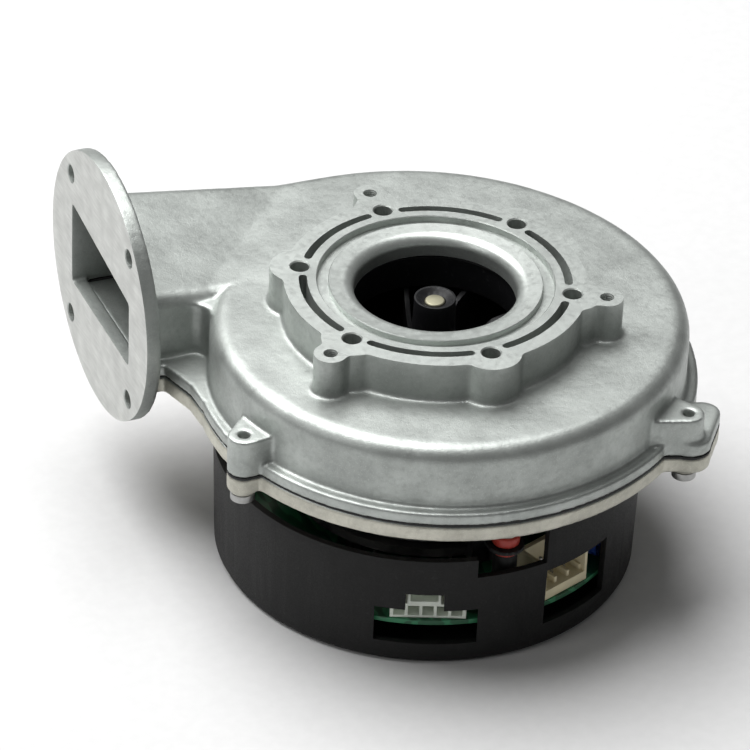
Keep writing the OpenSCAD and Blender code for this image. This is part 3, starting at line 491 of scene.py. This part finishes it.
# The turned inlet: a nearly flat lip inside a groove, rolling over into the throat
THROAT_R, ROLL_R = 23.8 * MM, 3.4 * MM
LIP_R, LIP_Z, LIP_FOOT_Z = 31.3 * MM, -0.3 * MM, -0.6 * MM
THROAT_END_Z = -7 * MM
GROOVE_OUT_R, GROOVE_Z = 34.65 * MM, -2.2 * MM
GROOVE_FILL_R = 36 * MM
GROOVE_EDGE = 0.25 * MM

# The curved slots, one between each pair of ring holes
SLOT_COUNT = 6
SLOT_R, SLOT_W, SLOT_HALF, SLOT_Z = 38.7 * MM, 2.4 * MM, math.radians(21.8), -8 * MM


def inlet_tool(over):
    """The air passage through the ring, as a turned solid to cut away."""
    roll_centre = (THROAT_R + ROLL_R, LIP_FOOT_Z - ROLL_R)
    roll = arc_points(roll_centre, ROLL_R, math.pi, math.pi / 2, 13)
    past_lip = LIP_R + 0.5 * MM
    profile = [(THROAT_R, THROAT_END_Z - over), *roll, (past_lip, LIP_Z), (past_lip, over)]
    return solid_of_rings(profile, TURNED_STEPS)


def groove_tool(over):
    """The sealing groove round the lip, with its inner edge broken."""
    mouth_r, lip_edge_r = GROOVE_OUT_R + GROOVE_EDGE, LIP_R - GROOVE_EDGE
    outer = solid_of_rings([(GROOVE_OUT_R, GROOVE_Z), (GROOVE_OUT_R, -GROOVE_EDGE),
                            (mouth_r, 0), (mouth_r, over)], TURNED_STEPS)
    ring = tool_object(outer, "groove")
    core = solid_of_rings([(LIP_R, GROOVE_Z - over), (LIP_R, LIP_Z - GROOVE_EDGE),
                           (lip_edge_r, LIP_Z), (lip_edge_r, 2 * over)], TURNED_STEPS)
    cut(ring, core)
    shape = bmesh.new()
    shape.from_mesh(ring.data)
    bpy.data.objects.remove(ring)
    return shape


def leave_stock(piece):
    """Raises the faces that are machined later, and fills the holes that are drilled later."""
    shape = bmesh.new()
    shape.from_mesh(piece.data)
    for vert in shape.verts:
        if abs(vert.co.z) < NEAR:
            vert.co.z += STOCK
        if abs(vert.co.x - flange_x) < NEAR:
            vert.co.x -= STOCK
    top = STOCK - FILL_BELOW_STOCK
    for mount_name, radius, depth in FILLINGS:
        fill = radius + FILL_PAST_RADIUS
        for place in hole_places(mount_name):
            add_shape(shape, solid_of_rings([(fill, -depth), (fill, top)]), place)
    plug = solid_of_rings([(GROOVE_FILL_R, THROAT_END_Z), (GROOVE_FILL_R, top)], TURNED_STEPS)
    add_shape(shape, plug, Matrix.Identity(4))
    shape.to_mesh(piece.data)
    shape.free()


def soften(piece, rounds):
    """Rounds every edge as a casting die does, and leaves the skin very slightly uneven."""
    remesh = piece.modifiers.new("remesh", "REMESH")
    remesh.mode = "VOXEL"
    remesh.voxel_size = VOXEL
    smooth = piece.modifiers.new("smooth", "SMOOTH")
    smooth.factor = 0.5
    smooth.iterations = rounds
    settle(piece)
    mesh = piece.data
    count = len(mesh.vertices)
    places = np.empty(count * 3)
    mesh.vertices.foreach_get("co", places)
    normals = np.empty(count * 3)
    mesh.vertex_normals.foreach_get("vector", normals)
    places, normals = places.reshape(-1, 3), normals.reshape(-1, 3)
    wave = np.array([noise.noise(Vector(p) / LONG_WAVE) + 0.5 * noise.noise(Vector(p) / SHORT_WAVE)
                     for p in places])
    places += normals * (RIPPLE * wave)[:, None]
    mesh.vertices.foreach_set("co", places.ravel())
    mesh.update()


def paint_faces(piece, materials, choose):
    """Gives each face of a piece the material that choose picks from its middle and its normal."""
    piece.data.materials.clear()
    for material in materials:
        piece.data.materials.append(material)
    count = len(piece.data.polygons)
    centres, normals = np.empty(count * 3), np.empty(count * 3)
    piece.data.polygons.foreach_get("center", centres)
    piece.data.polygons.foreach_get("normal", normals)
    picked = choose(centres.reshape(-1, 3), normals.reshape(-1, 3))
    piece.data.polygons.foreach_set("material_index", picked.astype(np.int32))
    piece.data.update()


def upper_casting_zones(centres, normals):
    """The turned inlet is smoother than the cast skin, and the flange face is milled."""
    radius = np.hypot(centres[:, 0], centres[:, 1])
    on_bell = (radius < LIP_R) & (centres[:, 2] > THROAT_END_Z + 0.1 * MM)
    on_flange = (centres[:, 0] < flange_x + NEAR) & (normals[:, 0] < -0.9)
    return np.where(on_flange, 2, np.where(on_bell, 1, 0))


def lower_casting_painted_shade_zones(centres, normals):
    """Faces that look upward get the darker, greyer upper-casting metal as painted shade; the rest
    keeps the warmer cast colour.
    """
    return np.where(normals[:, 2] > 0.7, 1, 0)


def make_upper_casting():
    piece = welded_copy("upper_casting", "cast")
    leave_stock(piece)
    soften(piece, rounds=10)
    cut(piece, box_shape((-RING_REACH, -RING_REACH, 0), (RING_REACH, RING_REACH, STOCK_MARGIN)))
    cut(piece, box_shape(
        (flange_x - STOCK_MARGIN, upper_low.y, upper_low.z - STOCK_MARGIN),
        (flange_x, upper_high.y + STOCK_MARGIN, upper_high.z + STOCK_MARGIN)))
    tools = bmesh.new()
    for place in hole_places("inlet_bolts"):
        add_shape(tools, machined_hole(inlet_r, INLET_DEPTH, OVERRUN, INLET_CHAMFER), place)
    for place in hole_places("outlet_bolts"):
        add_shape(tools, machined_hole(flange_r, FLANGE_DEPTH, OVERRUN, FLANGE_CHAMFER), place)
    for place in hole_places("inlet_tapped"):
        hole = threaded_hole(tapped_r, THREAD_PITCH, THREAD_DEPTH, TAPPED_DEPTH, OVERRUN)
        add_shape(tools, hole, place)
    for i in range(SLOT_COUNT):
        middle = math.radians(360 / SLOT_COUNT * i)
        slot = curved_slot(SLOT_R, SLOT_W, middle, SLOT_HALF, SLOT_Z, OVERRUN)
        add_shape(tools, slot, Matrix.Identity(4))
    cut(piece, tools)
    cut(piece, inlet_tool(OVERRUN))
    cut(piece, groove_tool(OVERRUN))
    paint_faces(piece, [finishes["cast_aluminium"], polished_bell, milled_flange],
                upper_casting_zones)
    shade(piece, sharp_degrees=38)


def make_lower_casting():
    piece = welded_copy("lower_casting", "cast")
    soften(piece, rounds=8)
    # Upward faces take the darker grey metal as painted shade; all other faces keep the warm cast
    # colour.
    paint_faces(piece, [finishes["cast_aluminium_warm"], finishes["cast_aluminium"]],
                lower_casting_painted_shade_zones)
    shade(piece, sharp_degrees=60)


# ---- moulded, turned and pressed pieces: the CAD shape with the small radii of its real edges ----
EDGE_ANGLE = math.radians(35)
EDGE_SEGMENTS = 3
EDGE_RADIUS = {
    "motor_cover": 0.45, "casing_gasket": 0.1, "impeller": 0.25, "impeller_shroud": 0.4,
    "shaft": 0.12, "isolator_front": 0.5, "isolator_right": 0.5, "isolator_left": 0.5,
    "control_connector": 0.22, "mains_connector": 0.25, "circuit_board": 0.12,
    "casing_screws": 0.3, "motor_screws": 0.2, "motor_carrier": 0.35, "rotor_cup": 0.4,
    "power_module": 0.2, "suppression_capacitor": 0.4, "bulk_capacitor": 0.6,
    "control_pins": 0.08, "mains_pins": 0.1, "hub_bush": 0.1,
}


def make_edged(node, radius_mm):
    piece = welded_copy(node, "edged")
    piece.data.materials.clear()
    piece.data.materials.append(finishes[slot_of[node]])
    bevel = piece.modifiers.new("edges", "BEVEL")
    bevel.width = radius_mm * MM
    bevel.segments = EDGE_SEGMENTS
    bevel.limit_method = "ANGLE"
    bevel.angle_limit = EDGE_ANGLE
    settle(piece)
    shade(piece, sharp_degrees=40)


make_upper_casting()
make_lower_casting()
for node, radius_mm in EDGE_RADIUS.items():
    make_edged(node, radius_mm)

# ---- camera, light and floor ----
VIEW_AZIMUTH = math.radians(24.0)
VIEW_ELEVATION = math.radians(34.27)
VIEW_ROLL = math.radians(2.46)
CAMERA_PLACE = Vector((-505.2, -1094.1, 786.7)) * MM
LENS_MM = 237.6
SENSOR_MM = 36.0
LIGHT_AIM = Vector((0, 0, -0.05))
FLOOR_SIZE = 8
PAPER_DARK, PAPER_LIGHT = (0.67, 0.67, 0.67), (0.69, 0.69, 0.69)


def add_camera():
    """A long lens, high in front of the fan and a little to its left."""
    level = math.cos(VIEW_ELEVATION)
    forward = Vector((math.sin(VIEW_AZIMUTH) * level, math.cos(VIEW_AZIMUTH) * level,
                      -math.sin(VIEW_ELEVATION)))
    side = forward.cross(Vector((0, 0, 1))).normalized()
    up = side.cross(forward)
    right = math.cos(VIEW_ROLL) * side + math.sin(VIEW_ROLL) * up
    top = math.cos(VIEW_ROLL) * up - math.sin(VIEW_ROLL) * side
    data = bpy.data.cameras.new("camera")
    data.lens = LENS_MM
    data.sensor_width = SENSOR_MM
    data.clip_end = 10
    camera = bpy.data.objects.new("camera", data)
    bpy.context.scene.collection.objects.link(camera)
    turn = Matrix((right, top, -forward)).transposed()
    camera.matrix_world = Matrix.Translation(CAMERA_PLACE) @ turn.to_4x4()
    bpy.context.scene.camera = camera


def add_light(name, place, size, power):
    """A round lamp that faces the middle of the fan."""
    data = bpy.data.lights.new(name, "AREA")
    data.shape = "DISK"
    data.size = size
    data.energy = power
    light = bpy.data.objects.new(name, data)
    bpy.context.scene.collection.objects.link(light)
    light.location = place
    light.rotation_euler = (LIGHT_AIM - Vector(place)).to_track_quat("-Z", "Y").to_euler()


def add_floor():
    """White paper, level with the bottom of the fan."""
    bpy.ops.mesh.primitive_plane_add(size=FLOOR_SIZE, location=(0, 0, cad_box[0][2]))
    floor = bpy.context.object
    floor.name = "floor"
    shader = Shader("floor_paper", 0.9)
    paper = shader.noise(4.0, 3.0)
    shader.colour(shader.mixed(shader.between(paper, 0.0, 1.0), PAPER_DARK, PAPER_LIGHT))
    floor.data.materials.append(shader.material)


def add_world(strength):
    world = bpy.data.worlds.new("studio")
    bpy.context.scene.world = world
    world.use_nodes = True
    background = world.node_tree.nodes["Background"]
    background.inputs["Color"].default_value = (1, 1, 1, 1)
    background.inputs["Strength"].default_value = strength


add_camera()
add_light("top_light", place=(-0.25, 0.5, 1.25), size=1.5, power=37)
add_light("left_light", place=(-1.3, -0.2, 0.7), size=0.5, power=2)
add_floor()
add_world(strength=0.13)

# The Standard view keeps the paper white, which the default view would turn grey
bpy.context.scene.view_settings.view_transform = "Standard"
